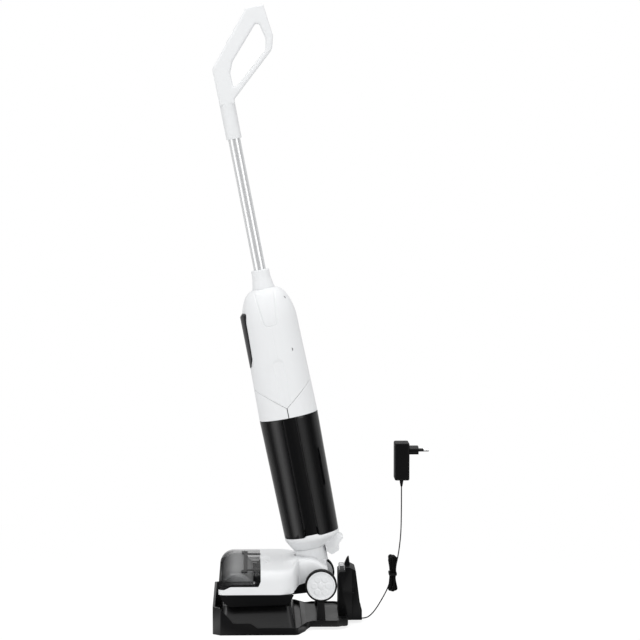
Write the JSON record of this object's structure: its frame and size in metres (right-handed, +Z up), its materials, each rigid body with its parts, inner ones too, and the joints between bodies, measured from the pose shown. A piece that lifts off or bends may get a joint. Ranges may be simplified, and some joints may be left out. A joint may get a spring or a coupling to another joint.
{
  "type": "wet dry floor scrubber",
  "caption": "Upright floor scrubber with twin smoked tanks, powered roller head, tilting neck and loop handle, parked in a charging tray with a plug-in adapter.",
  "frame": {"origin": "on the floor under the middle of the charging dock", "axes": "+X to the machine's rear, +Y to its right, +Z up"},
  "size_m": [0.3927, 0.292, 1.1214],
  "materials": {
    "white_plastic": "white moulded plastic, satin gloss",
    "pale_plastic": "pale grey moulded plastic",
    "smoked_tank": "smoked clear plastic, nearly black, glossy",
    "smoked_cover": "smoked clear plastic, grey, glossy",
    "black_gloss": "black panel, glossy",
    "black_plastic": "black moulded plastic, fine satin",
    "grey_plastic": "grey moulded plastic",
    "bright_tube": "polished anodised tube",
    "motor_metal": "plain metal cans",
    "steel": "bright steel",
    "contact_metal": "plated spring metal",
    "pin_metal": "plated pins",
    "plush": "short grey plush",
    "filter_paper": "pleated filter",
    "black_rubber": "soft black rubber",
    "tyre_rubber": "thin black tread",
    "board": "coated circuit board",
    "cord_rubber": "black flexible sheath"
  },
  "bodies": {
    "dock": {"dock_tray": "black_plastic", "dock_feet": "black_rubber", "tower_front": "black_plastic", "tower_back": "black_plastic", "dock_contacts": "contact_metal", "cable_gland": "black_rubber", "cord_to_dock": "cord_rubber", "cord_hank": "cord_rubber", "hank_tie": "black_plastic", "cord_to_adapter": "cord_rubber", "strain_relief": "black_rubber", "adapter_case": "black_plastic", "plug_face": "black_plastic", "plug_pins": "pin_metal"},
    "head": {"head_chassis": "black_plastic", "head_housing": "white_plastic", "steel_pins": "steel", "brush_motor": "motor_metal", "drive_belt": "black_rubber", "scraper_bar": "black_plastic", "suction_mouth": "black_plastic", "squeegee": "black_rubber"},
    "brush_cover": {"brush_cover": "smoked_cover"},
    "cover_latch": {"cover_latch": "white_plastic"},
    "roller": {"roller_core": "grey_plastic", "roller_sleeve": "plush", "roller_pulley": "black_plastic"},
    "motor_pulley": {"motor_pulley": "grey_plastic"},
    "wheel_left": {"wheel_hub_left": "white_plastic", "wheel_tyre_left": "tyre_rubber"},
    "wheel_right": {"wheel_hub_right": "white_plastic", "wheel_tyre_right": "tyre_rubber"},
    "neck": {"neck_housing": "white_plastic"},
    "upright": {"base_shell": "white_plastic", "charging_block": "pale_plastic", "charging_contacts": "contact_metal", "spine_frame": "black_plastic", "front_shell": "white_plastic", "rear_shell": "white_plastic", "body_screws": "steel", "display_panel": "black_gloss", "tube_socket": "white_plastic", "wand_tube": "bright_tube", "handle_left": "white_plastic", "handle_right": "white_plastic", "handle_strip": "pale_plastic", "suction_motor": "motor_metal", "battery_pack": "motor_metal", "main_board": "board", "water_pump": "black_plastic"},
    "dirty_tank": {"dirty_tank": "smoked_tank", "dirty_tank_lid": "white_plastic", "float_guide": "grey_plastic", "filter_block": "filter_paper"},
    "clean_tank": {"clean_tank": "smoked_tank", "clean_tank_lid": "white_plastic"},
    "fan": {"fan": "grey_plastic"},
    "power_button": {"power_button": "pale_plastic"},
    "clean_button": {"clean_button": "pale_plastic"}
  },
  "joints": [
    {"name": "lift_off", "type": "slide", "parent": "dock", "child": "head", "axis": [0, 0, 1], "range_m": [0, 0.35]},
    {"name": "recline", "type": "hinge", "parent": "head", "child": "neck", "pos_m": [0.04998, 0, 0.08852], "axis": [0, 1, 0], "range_deg": [0, 60]},
    {"name": "swivel", "type": "hinge", "parent": "neck", "child": "upright", "pos_m": [0.04998, 0, 0.08852], "axis": [-0.1913, 0, 0.9815], "range_deg": [-35, 35]},
    {"name": "wheel_left_spin", "type": "hinge", "parent": "head", "child": "wheel_left", "pos_m": [0.0595, -0.074, 0.0768], "axis": [0, 1, 0], "continuous": true},
    {"name": "wheel_right_spin", "type": "hinge", "parent": "head", "child": "wheel_right", "pos_m": [0.0595, 0.074, 0.0768], "axis": [0, 1, 0], "continuous": true},
    {"name": "roller_spin", "type": "hinge", "parent": "head", "child": "roller", "pos_m": [-0.092, 0, 0.0775], "axis": [0, 1, 0], "continuous": true},
    {"name": "motor_pulley_spin", "type": "hinge", "parent": "head", "child": "motor_pulley", "pos_m": [-0.028, 0.12, 0.08], "axis": [0, 1, 0], "continuous": true},
    {"name": "fan_spin", "type": "hinge", "parent": "upright", "child": "fan", "pos_m": [0.0561, 0, 0.1], "axis": [-0.1913, 0, 0.9815], "continuous": true},
    {"name": "dirty_tank_out", "type": "slide", "parent": "upright", "child": "dirty_tank", "axis": [-0.9815, 0, -0.1913], "range_m": [0, 0.1]},
    {"name": "clean_tank_out", "type": "slide", "parent": "upright", "child": "clean_tank", "axis": [0.9815, 0, 0.1913], "range_m": [0, 0.1]},
    {"name": "cover_off", "type": "slide", "parent": "head", "child": "brush_cover", "axis": [0, 0, 1], "range_m": [0, 0.07]},
    {"name": "cover_release", "type": "slide", "parent": "head", "child": "cover_latch", "axis": [0, 0, -1], "range_m": [0, 0.002], "stiffness_N_per_m": 400},
    {"name": "power_press", "type": "slide", "parent": "upright", "child": "power_button", "axis": [0.8743, 0, -0.4854], "range_m": [0, 0.0012], "stiffness_N_per_m": 500},
    {"name": "clean_press", "type": "slide", "parent": "upright", "child": "clean_button", "axis": [0.8743, 0, -0.4854], "range_m": [0, 0.0012], "stiffness_N_per_m": 500}
  ],
  "couplings": [
    {"joint": "motor_pulley_spin", "follows": "roller_spin", "ratio": 1.5385},
    {"joint": "recline", "follows": "lift_off", "rad_per_m": 2.99}
  ]
}
